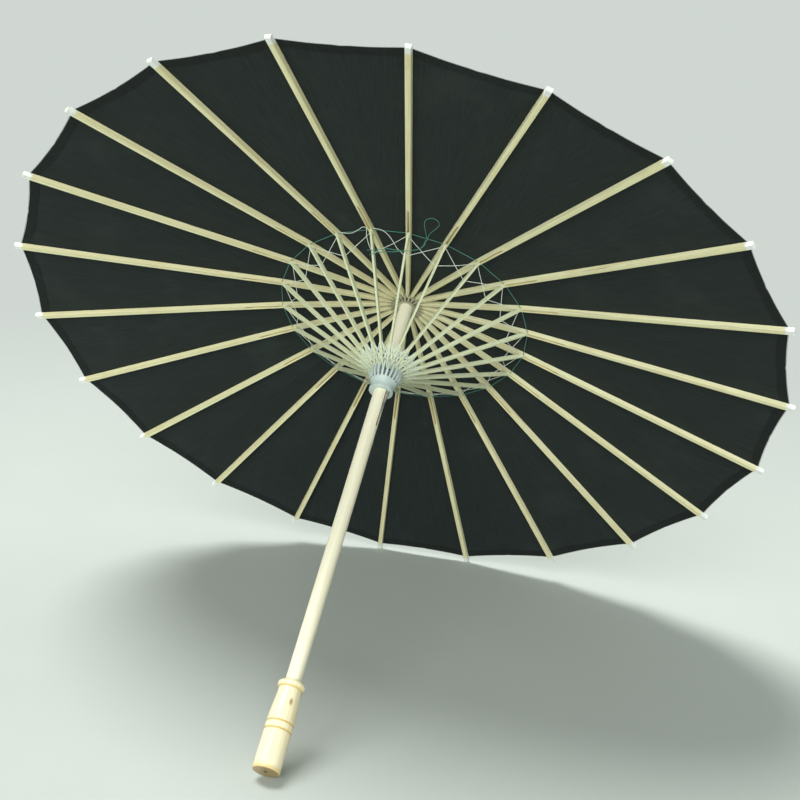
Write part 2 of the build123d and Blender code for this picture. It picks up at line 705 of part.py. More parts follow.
def make_parts():
    parts = {
        "handle": make_handle(),
        "pole": make_pole(),
        "hub": make_hub(),
        "hub_tie_ring": tie_ring(HUB_HINGE_RADIUS, HUB_HINGE_Z, HUB_RING_WIRE_RADIUS),
        "runner": make_runner(),
        "runner_tie_ring": tie_ring(RUNNER_HINGE_RADIUS, RUNNER_HINGE_Z, RUNNER_RING_WIRE_RADIUS),
        "catch_spring": make_catch_spring(),
        "stop_peg": make_stop_peg(),
        "canopy": make_canopy(),
        "cap": make_cap(),
        "finial": make_finial(),
        "joint_thread": make_joint_thread(),
        "loose_thread": make_loose_thread(),
        "outer_thread": make_outer_thread(),
        "inner_thread": make_inner_thread(),
        "edge_thread": make_edge_thread(),
    }
    rib = make_rib()
    stretcher = make_stretcher()
    for turn in range(RIB_COUNT):
        parts[f"rib_{turn + 1:02d}"] = Rot(0, 0, PITCH * turn) * rib
        parts[f"stretcher_{turn + 1:02d}"] = Rot(0, 0, PITCH * turn) * stretcher
    return parts


os.makedirs("parts", exist_ok=True)
for name, shape in make_parts().items():
    export_step(shape, f"parts/{name}.step")
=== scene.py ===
"""Looks of the folding parasol: materials, cloth gores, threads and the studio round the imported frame.

Metres, in the frame's own axes: +Z runs up the pole and the first rib points along +X.
"""

import json
import math
import random

import bpy
from mathutils import Matrix, Vector


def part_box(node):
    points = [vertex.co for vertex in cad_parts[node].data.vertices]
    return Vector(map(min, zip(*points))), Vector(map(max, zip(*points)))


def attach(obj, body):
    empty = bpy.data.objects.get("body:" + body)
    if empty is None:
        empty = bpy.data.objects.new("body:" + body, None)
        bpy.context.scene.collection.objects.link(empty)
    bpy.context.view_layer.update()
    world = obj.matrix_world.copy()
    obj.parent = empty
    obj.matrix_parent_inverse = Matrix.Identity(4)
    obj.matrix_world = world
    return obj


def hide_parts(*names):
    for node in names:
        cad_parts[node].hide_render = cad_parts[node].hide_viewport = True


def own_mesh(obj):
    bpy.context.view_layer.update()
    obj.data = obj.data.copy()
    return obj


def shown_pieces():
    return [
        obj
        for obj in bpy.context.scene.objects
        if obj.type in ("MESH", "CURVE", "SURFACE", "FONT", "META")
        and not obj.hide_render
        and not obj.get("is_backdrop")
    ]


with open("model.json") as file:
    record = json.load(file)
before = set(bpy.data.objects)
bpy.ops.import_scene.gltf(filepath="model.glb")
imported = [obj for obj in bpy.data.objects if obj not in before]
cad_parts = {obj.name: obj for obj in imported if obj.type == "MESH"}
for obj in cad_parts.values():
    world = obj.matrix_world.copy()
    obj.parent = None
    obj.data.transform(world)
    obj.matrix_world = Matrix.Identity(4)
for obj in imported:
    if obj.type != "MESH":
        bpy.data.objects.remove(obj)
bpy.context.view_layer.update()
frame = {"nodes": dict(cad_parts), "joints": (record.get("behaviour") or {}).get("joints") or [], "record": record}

MM = 0.001

# ---------------------------------------------------------------- places, from the frame

JOINTS = {joint["name"]: joint for joint in frame["joints"]}
RIB_COUNT = sum(name.startswith("rib_") for name in JOINTS)
PITCH = 2 * math.pi / RIB_COUNT
HALF_PITCH = PITCH / 2

HUB_HINGE = Vector(JOINTS["rib_01_hinge"]["pos_m"])
JOINT = Vector(JOINTS["stretcher_01_hinge"]["pos_m"])
RUNNER_RING_LOW, RUNNER_RING_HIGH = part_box("runner_tie_ring")
CAP_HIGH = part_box("cap")[1]
HANDLE_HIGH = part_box("handle")[1]
HUB_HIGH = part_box("hub")[1]

RIB_THICKNESS = 4.6 * MM
RIB_HALF_WIDTH = 3.1 * MM
TIP_RADIUS = 410 * MM
TIP_HEIGHT = 452 * MM
RIB_BEND_LIFT = 0.8 * MM
CLOTH_OVER_RIB = 0.35 * MM
CLOTH_THICKNESS = 0.4 * MM
CLOTH_EDGE_RADIUS = 404 * MM
CLOTH_HOLE_RADIUS = 13.5 * MM
SCALLOP = 3.0 * MM
HEM_WIDTH = 9.0 * MM
HEM_THICKNESS = 0.35 * MM

THREAD_RADIUS = 0.3 * MM
GREEN_THREAD_RADIUS = 0.35 * MM
STRETCHER_RING = Vector((RUNNER_RING_HIGH.x - 0.4 * MM, 0, (RUNNER_RING_LOW.z + RUNNER_RING_HIGH.z) / 2))
STRETCHER_LENGTH = (JOINT - STRETCHER_RING).length
STRETCHER_RUN = (JOINT - STRETCHER_RING).normalized()
STRETCHER_UP = Vector((-STRETCHER_RUN.z, 0, STRETCHER_RUN.x))
OUTER_HOLE = 24 * MM
OUTER_END = 3.5 * MM
INNER_HOLES = (8 * MM, 15 * MM, 22 * MM)
INNER_DIAGONALS = ((6 * MM, 27 * MM), (8 * MM, 22 * MM), (13 * MM, 27 * MM))
BESIDE_STRETCHER = 1.2 * MM


def turn_of(number):
    """Azimuth of the rib with this number, from 1."""
    return (number - 1) * PITCH


def body_name(kind, number):
    return f"{kind}_{number:02d}"


def about_pole(point, azimuth):
    """A point of the first rib's radial plane turned about the pole."""
    return Matrix.Rotation(azimuth, 3, "Z") @ Vector(point)


def sideways(azimuth):
    """The direction across a rib at this azimuth."""
    return Vector((-math.sin(azimuth), math.cos(azimuth), 0))


# ---------------------------------------------------------------- node graphs


class Graph:
    """A material's node tree, with short calls for the nodes used here."""

    def __init__(self, name, roughness=0.6):
        self.material = bpy.data.materials.new(name)
        self.material.use_nodes = True
        self.tree = self.material.node_tree
        self.shader = self.tree.nodes["Principled BSDF"]
        self.shader.inputs["Roughness"].default_value = roughness
        self.place = self.add("ShaderNodeTexCoord").outputs["Object"]

    def add(self, kind, **settings):
        node = self.tree.nodes.new(kind)
        for key, value in settings.items():
            setattr(node, key, value)
        return node

    def join(self, value, socket):
        if isinstance(value, bpy.types.NodeSocket):
            self.tree.links.new(value, socket)
        else:
            socket.default_value = value

    def math(self, operation, *values):
        node = self.add("ShaderNodeMath", operation=operation)
        for value, socket in zip(values, node.inputs):
            self.join(value, socket)
        return node.outputs[0]

    def plus(self, first, second):
        return self.math("ADD", first, second)

    def minus(self, first, second):
        return self.math("SUBTRACT", first, second)

    def times(self, first, second):
        return self.math("MULTIPLY", first, second)

    def size(self, value):
        return self.math("ABSOLUTE", value)

    def split(self, vector):
        node = self.add("ShaderNodeSeparateXYZ")
        self.join(vector, node.inputs[0])
        return node.outputs[0], node.outputs[1], node.outputs[2]

    def vector(self, x, y, z):
        node = self.add("ShaderNodeCombineXYZ")
        for value, socket in zip((x, y, z), node.inputs):
            self.join(value, socket)
        return node.outputs[0]

    def scaled(self, *pairs):
        """A vector of three values, each times its factor."""
        return self.vector(*(self.times(value, factor) for value, factor in pairs))

    def noise(self, vector, scale, detail=3.0, roughness=0.55, distortion=0.0):
        node = self.add("ShaderNodeTexNoise")
        self.join(vector, node.inputs["Vector"])
        settings = {"Scale": scale, "Detail": detail, "Roughness": roughness, "Distortion": distortion}
        for key, number in settings.items():
            node.inputs[key].default_value = number
        return node.outputs[0]

    def wave(self, vector, scale, direction="X"):
        node = self.add("ShaderNodeTexWave", bands_direction=direction)
        self.join(vector, node.inputs["Vector"])
        node.inputs["Scale"].default_value = scale
        return node.outputs["Fac"]

    def between(self, value, low, high, to_low=0.0, to_high=1.0):
        """value mapped smoothly from low..high to to_low..to_high, and held outside that."""
        node = self.add("ShaderNodeMapRange", interpolation_type="SMOOTHSTEP")
        for key, number in (("From Min", low), ("From Max", high), ("To Min", to_low), ("To Max", to_high)):
            node.inputs[key].default_value = number
        self.join(value, node.inputs["Value"])
        return node.outputs[0]

    def ramp(self, value, *stops):
        node = self.add("ShaderNodeValToRGB")
        elements = node.color_ramp.elements
        elements[0].position, elements[1].position = stops[0][0], stops[-1][0]
        elements[0].color, elements[1].color = (*stops[0][1], 1), (*stops[-1][1], 1)
        for position, colour in stops[1:-1]:
            elements.new(position).color = (*colour, 1)
        self.join(value, node.inputs[0])
        return node.outputs[0]

    def mix(self, share, first, second, blend="MIX"):
        node = self.add("ShaderNodeMix", data_type="RGBA", blend_type=blend)
        self.join(share, node.inputs["Factor"])
        for value, socket in ((first, node.inputs[6]), (second, node.inputs[7])):
            self.join((*value, 1) if isinstance(value, tuple) else value, socket)
        return node.outputs[2]

    def bump(self, height, strength, distance):
        node = self.add("ShaderNodeBump")
        node.inputs["Strength"].default_value = strength
        node.inputs["Distance"].default_value = distance
        self.join(height, node.inputs["Height"])
        return node.outputs[0]

    def finish(self, colour, roughness=None, normal=None, **sockets):
        self.join(colour, self.shader.inputs["Base Color"])
        if roughness is not None:
            self.join(roughness, self.shader.inputs["Roughness"])
        if normal is not None:
            self.join(normal, self.shader.inputs["Normal"])
        for name, value in sockets.items():
            self.shader.inputs[name.replace("_", " ")].default_value = value
        return self.material

    # places on the parasol, in metres

    def radius(self):
        x, y, _ = self.split(self.place)
        return self.math("SQRT", self.plus(self.times(x, x), self.times(y, y)))

    def height(self):
        return self.split(self.place)[2]

    def rib_place(self):
        """(distance out from the pole, distance across from the nearest rib's middle, that rib's number)."""
        x, y, _ = self.split(self.place)
        angle = self.math("ARCTAN2", y, x)
        number = self.math("ROUND", self.math("DIVIDE", angle, PITCH))
        off = self.minus(angle, self.times(number, PITCH))
        return self.radius(), self.times(self.radius(), self.math("SINE", off)), number


# ---------------------------------------------------------------- materials


RIB_SLOPE = 0.207
SLOT_STARTS = (JOINT.x - 9.5 * MM, JOINT.x - 8 * MM)
SLOT_ENDS = (JOINT.x + 38 * MM, JOINT.x + 43 * MM)
# brown painted shade inside the ribs' slots for the stretchers
SLOT_SHADE = (0.34, 0.21, 0.09)
TIP_PAINT = (401.0 * MM, 402.2 * MM)
TIP_WHITE = (0.80, 0.82, 0.77)


def slot_shade_and_tip(graph, colour, out, across, patches):
    """A rib's slot for its stretcher, darkened brown with painted shade from just inside the joint outward, and
    its painted tip.
    """
    narrow = graph.between(graph.size(across), 0.6 * MM, 1.1 * MM, 1.0, 0.0)
    starts = graph.between(out, *SLOT_STARTS)
    ends = graph.between(out, *SLOT_ENDS, 1.0, 0.0)
    slot_shade = graph.times(graph.times(narrow, starts), ends)
    # painted shade: the slot is darkened brown
    colour = graph.mix(graph.times(slot_shade, 0.8), colour, SLOT_SHADE)
    wobble = graph.times(graph.minus(patches, 0.5), 5 * MM)
    painted = graph.between(graph.plus(out, wobble), *TIP_PAINT)
    return graph.mix(painted, colour, TIP_WHITE)


def bamboo(name, pale, warm, dark, is_rib):
    """Split bamboo: long fibres, two tones across the strip, and brown painted shade where it is cut open."""
    graph = Graph(name)
    out, across, number = graph.rib_place()
    shifted_out = graph.plus(out, graph.times(number, 0.37))
    above_slope = graph.plus(graph.height(), graph.times(out, RIB_SLOPE))
    fibre_place = graph.scaled((shifted_out, 14.0), (across, 900.0), (above_slope, 900.0))
    fibres = graph.noise(fibre_place, 1.0, detail=5.0)
    patch_place = graph.vector(graph.times(shifted_out, 30.0), graph.times(number, 3.1), across)
    patches = graph.noise(patch_place, 1.0, detail=2.0)
    bright = tuple(min(1, c * 1.12) for c in pale)
    colour = graph.ramp(fibres, (0.28, warm), (0.5, pale), (0.72, bright))
    colour = graph.mix(graph.between(patches, 0.45, 0.8, 0.0, 0.55), colour, warm)
    # one side of each strip is a shade warmer than the other
    skin = graph.between(across, -0.4 * MM, 0.5 * MM, 0.0, 0.35)
    colour = graph.mix(skin, colour, warm)
    # brown lines along some edges, where the skin was shaved
    line_place = graph.vector(graph.times(shifted_out, 9.0), graph.times(across, 1500.0), 0.0)
    edge_line = graph.noise(line_place, 1.0)
    colour = graph.mix(graph.between(edge_line, 0.62, 0.78, 0.0, 0.6), colour, dark)
    if is_rib:
        colour = slot_shade_and_tip(graph, colour, out, across, patches)
    roughness = graph.between(fibres, 0.2, 0.8, 0.62, 0.45)
    normal = graph.bump(fibres, 0.35, 0.12 * MM)
    return graph.finish(colour, roughness, normal, Specular_IOR_Level=0.4)


def wood_grain(graph):
    """Fine grain and broad bands of wood turned along the pole."""
    x, y, z = graph.split(graph.place)
    fine_place = graph.scaled((x, 420.0), (y, 420.0), (z, 7.0))
    grain = graph.noise(fine_place, 1.0, detail=5.0, distortion=0.3)
    broad = graph.noise(graph.scaled((x, 60.0), (y, 60.0), (z, 4.0)), 1.0, detail=2.0)
    return grain, broad


def pale_wood():
    """Unvarnished wood, with painted shade inside the cuts in the pole."""
    graph = Graph("pale_wood")
    grain, broad = wood_grain(graph)
    stops = (0.25, (0.76, 0.71, 0.50)), (0.5, (0.87, 0.84, 0.65)), (0.8, (0.91, 0.89, 0.74))
    colour = graph.ramp(grain, *stops)
    colour = graph.mix(graph.between(broad, 0.4, 0.7, 0.0, 0.5), colour, (0.82, 0.78, 0.57))
    # painted shade: nearly black inside the cuts in the pole
    cut = graph.between(graph.radius(), 6.9 * MM, 7.12 * MM, 0.9, 0.0)
    colour = graph.mix(cut, colour, (0.10, 0.045, 0.015))
    roughness = graph.between(grain, 0.2, 0.8, 0.6, 0.48)
    normal = graph.bump(grain, 0.25, 0.1 * MM)
    return graph.finish(colour, roughness, normal, Specular_IOR_Level=0.4)


AMBER = (0.68, 0.47, 0.14)
HANDLE_GROOVES = (36 * MM, 43 * MM)
# height of each shoulder of the handle, and how far the amber reaches from it
HANDLE_SHOULDERS = ((75.5 * MM, 2.0 * MM), (HANDLE_HIGH.z, 1.2 * MM), (0.0, 6.0 * MM))
WOOD_KNOT_SQUEEZE = 0.45
WOOD_KNOT = (10.9 * MM, -1.4 * MM, 61.0 * MM * WOOD_KNOT_SQUEEZE)


def varnished_wood():
    """Varnished wood: amber in its grooves and at its shoulders, one small knot, and a dull sawn end."""
    graph = Graph("varnished_wood")
    x, y, z = graph.split(graph.place)
    radius = graph.radius()
    grain, broad = wood_grain(graph)
    stops = (0.22, (0.80, 0.64, 0.33)), (0.48, (0.92, 0.84, 0.58)), (0.8, (0.96, 0.93, 0.74))
    colour = graph.ramp(grain, *stops)
    colour = graph.mix(graph.between(broad, 0.35, 0.75, 0.0, 0.45), colour, (0.90, 0.78, 0.48))
    for groove in HANDLE_GROOVES:
        near = graph.between(graph.size(graph.minus(z, groove)), 0.3 * MM, 1.5 * MM, 0.8, 0.0)
        colour = graph.mix(near, colour, AMBER)
    for shoulder, width in HANDLE_SHOULDERS:
        near = graph.between(graph.size(graph.minus(z, shoulder)), 0.0, width, 0.7, 0.0)
        colour = graph.mix(near, colour, AMBER)
    from_knot = graph.add("ShaderNodeVectorMath", operation="DISTANCE")
    graph.join(graph.vector(x, y, graph.times(z, WOOD_KNOT_SQUEEZE)), from_knot.inputs[0])
    from_knot.inputs[1].default_value = WOOD_KNOT
    knot = graph.between(from_knot.outputs["Value"], 0.6 * MM, 2.3 * MM, 0.85, 0.0)
    colour = graph.mix(knot, colour, (0.36, 0.21, 0.06))
    # the sawn end is brown with faint rings, and its hole is darkened nearly black with painted shade
    end = graph.between(z, 0.02 * MM, 0.1 * MM, 1.0, 0.0)
    rings = graph.math("SINE", graph.times(graph.plus(radius, graph.times(broad, 3 * MM)), 4200.0))
    ring_tone = graph.between(rings, -1.0, 1.0)
    end_colour = graph.ramp(ring_tone, (0.0, (0.25, 0.16, 0.05)), (1.0, (0.38, 0.26, 0.09)))
    colour = graph.mix(end, colour, end_colour)
    hole_shade = graph.between(radius, 1.5 * MM, 2.6 * MM, 0.85, 0.0)
    deep = graph.between(z, 12 * MM, 14 * MM, 1.0, 0.0)
    # painted shade deep in the hole
    colour = graph.mix(graph.times(hole_shade, deep), colour, (0.05, 0.02, 0.01))
    normal = graph.bump(grain, 0.12, 0.08 * MM)
    roughness = graph.between(grain, 0.2, 0.8, 0.34, 0.26)
    return graph.finish(
        colour, roughness, normal, Coat_Weight=0.45, Coat_Roughness=0.16, Specular_IOR_Level=0.5
    )


SLOTTED_FROM = 9.5 * MM
RUNNER_SLOTS_FROM = 420 * MM


def plastic(name, colour_low, colour_high, roughness, shade):
    """Moulded plastic with faint flow marks and a fine matt skin, in shade at the bottom of its slots."""
    graph = Graph(name)
    flow = graph.noise(graph.place, 90.0, detail=3.0, distortion=0.8)
    skin = graph.noise(graph.place, 2600.0, detail=2.0)
    colour = graph.ramp(flow, (0.3, colour_low), (0.7, colour_high))
    out, across, _ = graph.rib_place()
    slot_shade = graph.between(graph.size(across), 0.95 * MM, 1.2 * MM, 1.0, 0.0)
    outside = graph.between(out, SLOTTED_FROM, SLOTTED_FROM + 1 * MM)
    above = graph.between(graph.height(), RUNNER_SLOTS_FROM, RUNNER_SLOTS_FROM + 1 * MM)
    slot_shade = graph.times(graph.times(slot_shade, outside), above)
    colour = graph.mix(graph.times(slot_shade, 0.85), colour, shade)
    rough = graph.between(flow, 0.2, 0.8, roughness - 0.06, roughness + 0.08)
    normal = graph.bump(skin, 0.12, 0.05 * MM)
    return graph.finish(colour, rough, normal, Specular_IOR_Level=0.5, Subsurface_Weight=0.05)


def steel():
    graph = Graph("drawn_wire")
    marks = graph.noise(graph.place, 1800.0, detail=3.0)
    colour = graph.ramp(marks, (0.3, (0.42, 0.43, 0.45)), (0.7, (0.66, 0.67, 0.68)))
    roughness = graph.between(marks, 0.2, 0.8, 0.28, 0.46)
    return graph.finish(colour, roughness, graph.bump(marks, 0.1, 0.03 * MM), Metallic=1.0)


def peg_wood():
    graph = Graph("dowel")
    grain = graph.noise(graph.place, 1500.0, detail=4.0)
    colour = graph.ramp(grain, (0.25, (0.32, 0.11, 0.02)), (0.75, (0.66, 0.32, 0.08)))
    return graph.finish(colour, graph.between(grain, 0.2, 0.8, 0.65, 0.5), graph.bump(grain, 0.3, 0.08 * MM))


WEAVE_BUMP = 0.35


def cloth(name, dark, pale):
    """Plain woven cloth, its threads along and across each gore, with slack streaks and a little dust."""
    graph = Graph(name, 0.8)
    out, across, number = graph.rib_place()
    warp = graph.wave(graph.vector(across, 0.0, 0.0), 2200.0)
    weft = graph.wave(graph.vector(out, 0.0, 0.0), 2200.0)
    weave = graph.times(graph.plus(warp, weft), 0.5)
    slubs = graph.noise(graph.scaled((out, 30.0), (across, 700.0), (number, 2.0)), 1.0, detail=4.0)
    dust = graph.noise(graph.place, 11.0, detail=5.0, roughness=0.65)
    colour = graph.ramp(slubs, (0.3, dark), (0.75, pale))
    colour = graph.mix(graph.between(weave, 0.2, 0.9, 0.0, 0.35), colour, tuple(c * 1.5 for c in pale))
    colour = graph.mix(graph.between(dust, 0.5, 0.75, 0.0, 0.5), colour, tuple(c * 1.6 for c in pale))
    roughness = graph.between(slubs, 0.2, 0.8, 0.88, 0.74)
    normal = graph.bump(weave, WEAVE_BUMP, 0.12 * MM)
    return graph.finish(
        colour, roughness, normal, Sheen_Weight=0.03, Sheen_Roughness=0.5, Specular_IOR_Level=0.14
    )


def thread(name, dark, pale):
    """Twisted thread: fine diagonal strands and stray fibres."""
    graph = Graph(name, 0.75)
    x, y, z = graph.split(graph.place)
    slanted = graph.vector(graph.plus(x, z), graph.minus(y, z), 0.0)
    twist = graph.wave(slanted, 1400.0, "DIAGONAL")
    fluff = graph.noise(graph.place, 1600.0, detail=3.0)
    colour = graph.ramp(graph.times(graph.plus(twist, fluff), 0.5), (0.25, dark), (0.75, pale))
    roughness = graph.between(fluff, 0.2, 0.8, 0.85, 0.65)
    return graph.finish(colour, roughness, graph.bump(twist, 0.4, 0.08 * MM), Sheen_Weight=0.2)


def plain_cloth(name, dark, pale):
    """The same cloth where it is gathered: its weave runs straight across, whatever the gores do."""
    graph = Graph(name, 0.8)
    x, y, _ = graph.split(graph.place)
    warp = graph.wave(graph.vector(x, 0.0, 0.0), 1800.0)
    weft = graph.wave(graph.vector(y, 0.0, 0.0), 1800.0)
    weave = graph.times(graph.plus(warp, weft), 0.5)
    dust = graph.noise(graph.place, 160.0, detail=4.0)
    colour = graph.ramp(graph.times(graph.plus(weave, dust), 0.5), (0.3, dark), (0.75, pale))
    roughness = graph.between(dust, 0.2, 0.8, 0.9, 0.76)
    normal = graph.bump(weave, WEAVE_BUMP, 0.12 * MM)
    return graph.finish(colour, roughness, normal, Sheen_Weight=0.03, Specular_IOR_Level=0.14)


MATERIALS = {
    "rib_bamboo": bamboo("rib_bamboo", (0.78, 0.755, 0.48), (0.68, 0.61, 0.33), (0.22, 0.13, 0.05), True),
    "stretcher_bamboo": bamboo(
        "stretcher_bamboo", (0.63, 0.67, 0.47), (0.55, 0.56, 0.34), (0.34, 0.27, 0.12), False
    ),
    "varnished_wood": varnished_wood(),
    "pale_wood": pale_wood(),
    "hub_plastic": plastic("hub_plastic", (0.36, 0.35, 0.24), (0.45, 0.44, 0.31), 0.55, (0.12, 0.11, 0.07)),
    "runner_plastic": plastic(
        "runner_plastic", (0.47, 0.56, 0.53), (0.54, 0.62, 0.59), 0.42, (0.07, 0.085, 0.08)
    ),
    "steel_wire": steel(),
    "peg_wood": peg_wood(),
    "canopy_cloth": cloth("canopy_cloth", (0.011, 0.015, 0.0142), (0.019, 0.026, 0.024)),
    "hem_cloth": cloth("hem_cloth", (0.007, 0.0095, 0.009), (0.012, 0.0165, 0.0155)),
    "cap_cloth": plain_cloth("cap_cloth", (0.008, 0.011, 0.0105), (0.016, 0.021, 0.020)),
    "green_thread": thread("green_thread", (0.02, 0.12, 0.09), (0.07, 0.30, 0.23)),
    "white_thread": thread("white_thread", (0.57, 0.64, 0.56), (0.80, 0.88, 0.78)),
    "grey_thread": thread("grey_thread", (0.16, 0.17, 0.17), (0.42, 0.43, 0.42)),
}


def paint(piece, *names):
    piece.data.materials.clear()
    for name in names:
        piece.data.materials.append(MATERIALS[name])


for sub_part in frame["record"]["subparts"]:
    paint(frame["nodes"][sub_part["node"]], sub_part["material_slot"])
ROUND_NODES = ("handle", "pole", "hub", "runner", "finial", "hub_tie_ring", "runner_tie_ring", "catch_spring")
ROUND_NODE_SHARP_DEGREES = 32
for name in ROUND_NODES:
    mesh = frame["nodes"][name].data
    mesh.shade_smooth()
    mesh.set_sharp_from_angle(angle=math.radians(ROUND_NODE_SHARP_DEGREES))


# ---------------------------------------------------------------- meshes


def mesh_piece(name, points, faces, materials, face_materials=None, sharp_degrees=35):
    mesh = bpy.data.meshes.new(name)
    mesh.from_pydata([tuple(point) for point in points], [], faces)
    piece = bpy.data.objects.new(name, mesh)
    bpy.context.scene.collection.objects.link(piece)
    paint(piece, *materials)
    if face_materials:
        mesh.polygons.foreach_set("material_index", face_materials)
    mesh.validate()
    mesh.shade_smooth()
    mesh.set_sharp_from_angle(angle=math.radians(sharp_degrees))
    return piece


def tube_mesh(routes, radius, sides=8):
    """Points and faces of round closed tubes along these routes of points."""
    points, faces = [], []
    for route in routes:
        start = len(points)
        side = None
        for index, place in enumerate(route):
            before = route[max(index - 1, 0)]
            after = route[min(index + 1, len(route) - 1)]
            along = (after - before).normalized()
            if side is None:
                side = along.orthogonal().normalized()
            side = (side - along * side.dot(along)).normalized()
            other = along.cross(side)
            for step in range(sides):
                angle = 2 * math.pi * step / sides
                points.append(place + (side * math.cos(angle) + other * math.sin(angle)) * radius)
        for index in range(len(route) - 1):
            for step in range(sides):
                a = start + index * sides + step
                b = start + index * sides + (step + 1) % sides
                faces.append((a, b, b + sides, a + sides))
        last = start + (len(route) - 1) * sides
        faces.append(tuple(start + step for step in reversed(range(sides))))
        faces.append(tuple(last + step for step in range(sides)))
    return points, faces


def curve_between(points, steps):
    """A smooth route through these points, as a list of closer points."""
    route = []
    for index in range(len(points) - 1):
        p0 = points[max(index - 1, 0)]
        p1, p2 = points[index], points[index + 1]
        p3 = points[min(index + 2, len(points) - 1)]
        for step in range(steps):
            t = step / steps
            a = (p1 * 2) + (p2 - p0) * t
            b = (p0 * 2 - p1 * 5 + p2 * 4 - p3) * t * t
            c = (p1 * 3 - p0 - p2 * 3 + p3) * t * t * t
            route.append((a + b + c) * 0.5)
    route.append(points[-1])
    return route


# ---------------------------------------------------------------- cloth gores

HALF_THICK = RIB_THICKNESS / 2
RIB_BEND = Vector((JOINT.x, 0, JOINT.z + RIB_BEND_LIFT))
RIB_TIP = Vector((TIP_RADIUS, 0, TIP_HEIGHT))
CLOTH_SAG = 1.6 * MM
CLOTH_PUCKER = 0.22 * MM
CLOTH_RIPPLE = 0.18 * MM
CLOTH_ROUND_WITHIN = 30 * MM
SEAM_SHARE = 0.999


def rib_top(radius):
    """Height of the ribs' upper faces this far from the pole."""
    ends = (HUB_HINGE, RIB_BEND) if radius < RIB_BEND.x else (RIB_BEND, RIB_TIP)
    run = ends[1] - ends[0]
    lift = HALF_THICK * run.length / run.x
    return ends[0].z + run.z * (radius - ends[0].x) / run.x + lift


def cloth_height(radius, across_share, side_seed):
    """Underside of the cloth: tight from rib to rib, a little slack between them, with faint puckers."""
    slack = math.sin(math.pi * across_share / 2) ** 2
    along = (radius - CLOTH_HOLE_RADIUS) / (CLOTH_EDGE_RADIUS - CLOTH_HOLE_RADIUS)
    sag = -CLOTH_SAG * slack * math.sin(math.pi * min(max(along, 0), 1)) ** 0.8
    pucker = CLOTH_PUCKER * math.sin(9 * across_share + side_seed) * slack * along
    ripple = CLOTH_RIPPLE * math.sin(38 * along + side_seed * 2) * slack * along
    return rib_top(radius) + CLOTH_OVER_RIB + sag + pucker + ripple


def gore_point(radius, share, side_seed, lift):
    """A point of a gore centred on the first rib. share runs from -1 to 1, half way to the next ribs."""
    height = cloth_height(radius, abs(share), side_seed) + lift
    angle = HALF_PITCH * share
    if abs(share) > SEAM_SHARE:
        inward = radius * math.cos(angle)
        return Vector((inward * math.cos(angle), inward * math.sin(angle), height))
    across = radius * math.sin(HALF_PITCH) * share
    flat = min(abs(across), RIB_HALF_WIDTH)
    if radius > CLOTH_ROUND_WITHIN:
        out = radius - (abs(across) - flat) * math.tan(HALF_PITCH)
        out = max(out, radius * math.cos(HALF_PITCH) ** 2)
    else:
        out = radius * math.cos(angle)
    return Vector((out, across * math.cos(HALF_PITCH), height))


STRIP_AT_HUB = 2.4 * MM
STRIP_AT_JOINT = 3.3 * MM
STRIP_AT_TIP = 4.1 * MM
STRIP_SHARE_MOST = 0.97
FOLD_LEAN = math.radians(4.5)
GORE_ROWS = 64
# Places across a gore: 0 on the rib's middle, 1 at the rib's edge, 2 half way to the next rib
STRIP_PLACES = (-1.0, -0.5, 0.0, 0.5, 1.0)
PANEL_PLACES = (1.0, 1.06, 1.14, 1.24, 1.36, 1.5, 1.65, 1.8, 1.9, 2.0)
RIB_RUN = (RIB_TIP - RIB_BEND).normalized()
RIB_UP = Vector((-RIB_RUN.z, 0, RIB_RUN.x))


def share_at(place, radius):
    """Share of the half width of a gore at this place across it."""
    if radius < JOINT.x:
        along = (radius - CLOTH_HOLE_RADIUS) / (JOINT.x - CLOTH_HOLE_RADIUS)
        width = STRIP_AT_HUB + (STRIP_AT_JOINT - STRIP_AT_HUB) * along
    else:
        along = (radius - JOINT.x) / (CLOTH_EDGE_RADIUS - JOINT.x)
        width = STRIP_AT_JOINT + (STRIP_AT_TIP - STRIP_AT_JOINT) * along
    strip = min(width / (radius * math.sin(HALF_PITCH)), STRIP_SHARE_MOST)
    size = abs(place)
    share = strip * size if size <= 1 else strip + (1 - strip) * (size - 1)
    return math.copysign(share, place)


def scalloped_edge(share):
    return CLOTH_EDGE_RADIUS - SCALLOP * (2 * abs(share) - share * share)


def gore_row(step):
    """Radius across a gore, this share of the way from the hole to the edge."""
    return lambda share: CLOTH_HOLE_RADIUS + (scalloped_edge(share) - CLOTH_HOLE_RADIUS) * step


HEM_WAVES = (0.7 * MM, 0.3 * MM)
HEM_INSET = 0.1 * MM


def hem_row(depth, seeds):
    """Radius across the hem: depth 0 at the cloth's edge and 1 at the stitches."""

    def row(share):
        long_wave = HEM_WAVES[0] * math.sin(7 * share + seeds[share > 0] * 3)
        short_wave = HEM_WAVES[1] * math.sin(23 * share)
        return scalloped_edge(share) - (HEM_WIDTH + (long_wave + short_wave)) * depth - HEM_INSET

    return row


# rows lie a little closer together towards the edge
ROW_CROWDING = 1.15
GORE_STEPS = [1 - (1 - index / GORE_ROWS) ** ROW_CROWDING for index in range(GORE_ROWS + 1)]
CLOTH_LIFTS = (0.0, CLOTH_THICKNESS)
HEM_BELOW_CLOTH = 0.02 * MM
HEM_LIFTS = (-HEM_THICKNESS, -HEM_BELOW_CLOTH)
HEM_ROWS = 5
CLOTH_SHARP_DEGREES = 50


